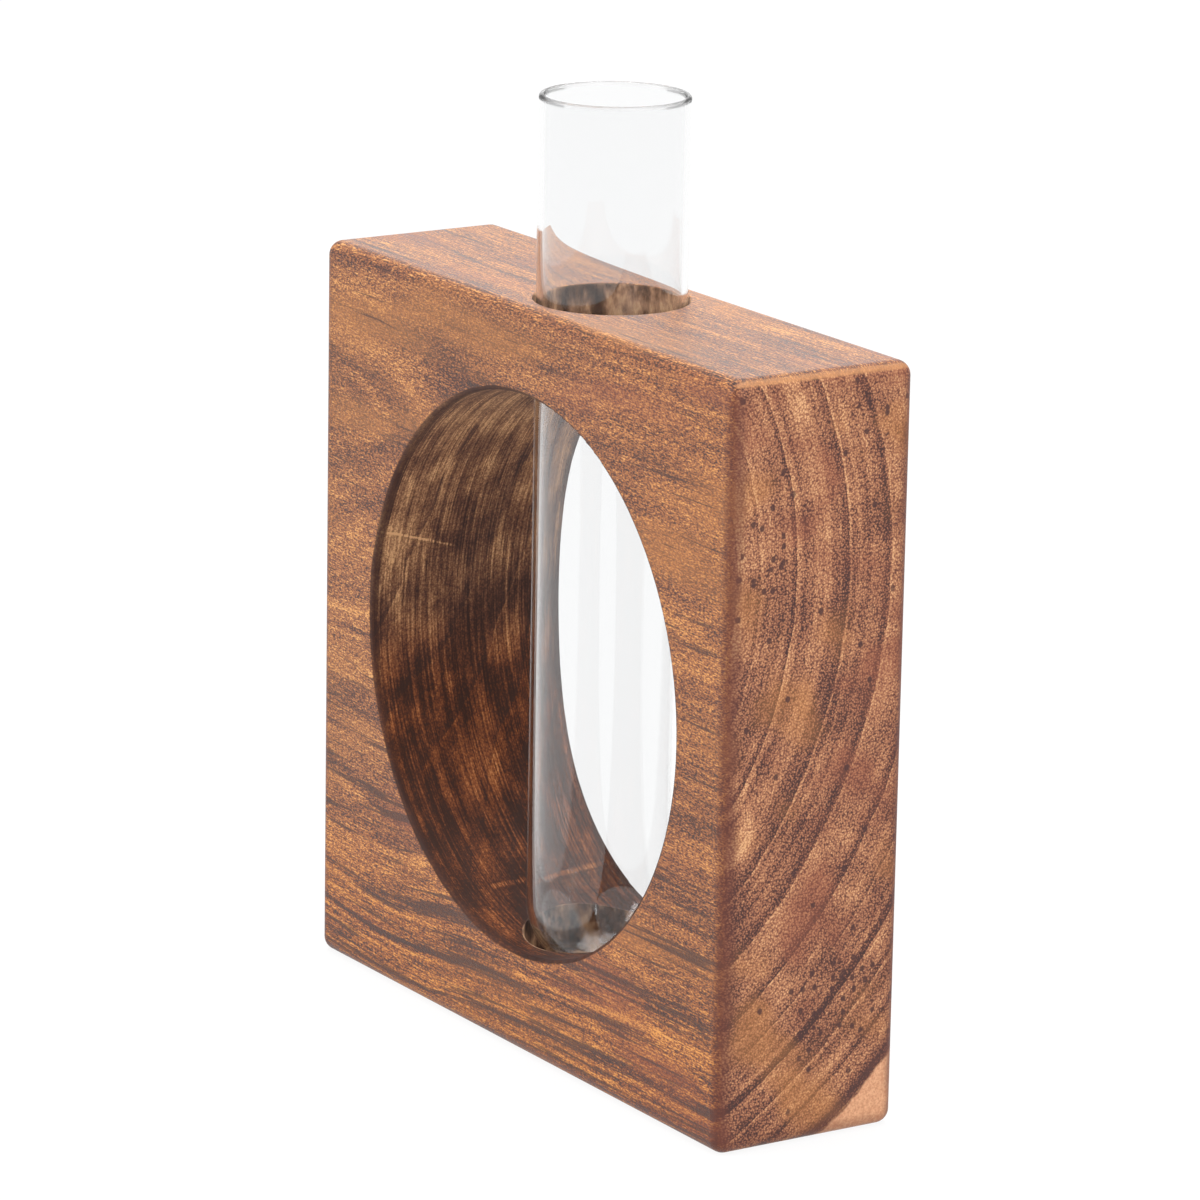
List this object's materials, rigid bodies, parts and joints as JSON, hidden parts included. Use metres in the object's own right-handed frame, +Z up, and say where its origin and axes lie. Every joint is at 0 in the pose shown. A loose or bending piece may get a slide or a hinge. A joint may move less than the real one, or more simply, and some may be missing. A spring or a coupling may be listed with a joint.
{
  "type": "propagation vase",
  "caption": "Solid hardwood block with a round window, holding an upright clear glass test tube that takes water and a cutting or single stem.",
  "frame": {"origin": "middle of the block's underside, on the surface that it stands on", "axes": "+Z up along the tube, +X along the block's length and grain, -Y out of the front face"},
  "size_m": [0.127, 0.0344, 0.161],
  "materials": {
    "hardwood": "sanded and oiled, satin",
    "clear_glass": "clear, polished"
  },
  "bodies": {
    "block": {"wood_block": "hardwood"},
    "tube": {"glass_tube": "clear_glass"}
  },
  "joints": [
    {"name": "tube_lift", "type": "slide", "parent": "block", "child": "tube", "axis": [0, 0, 1], "range_m": [0, 0.12]}
  ]
}
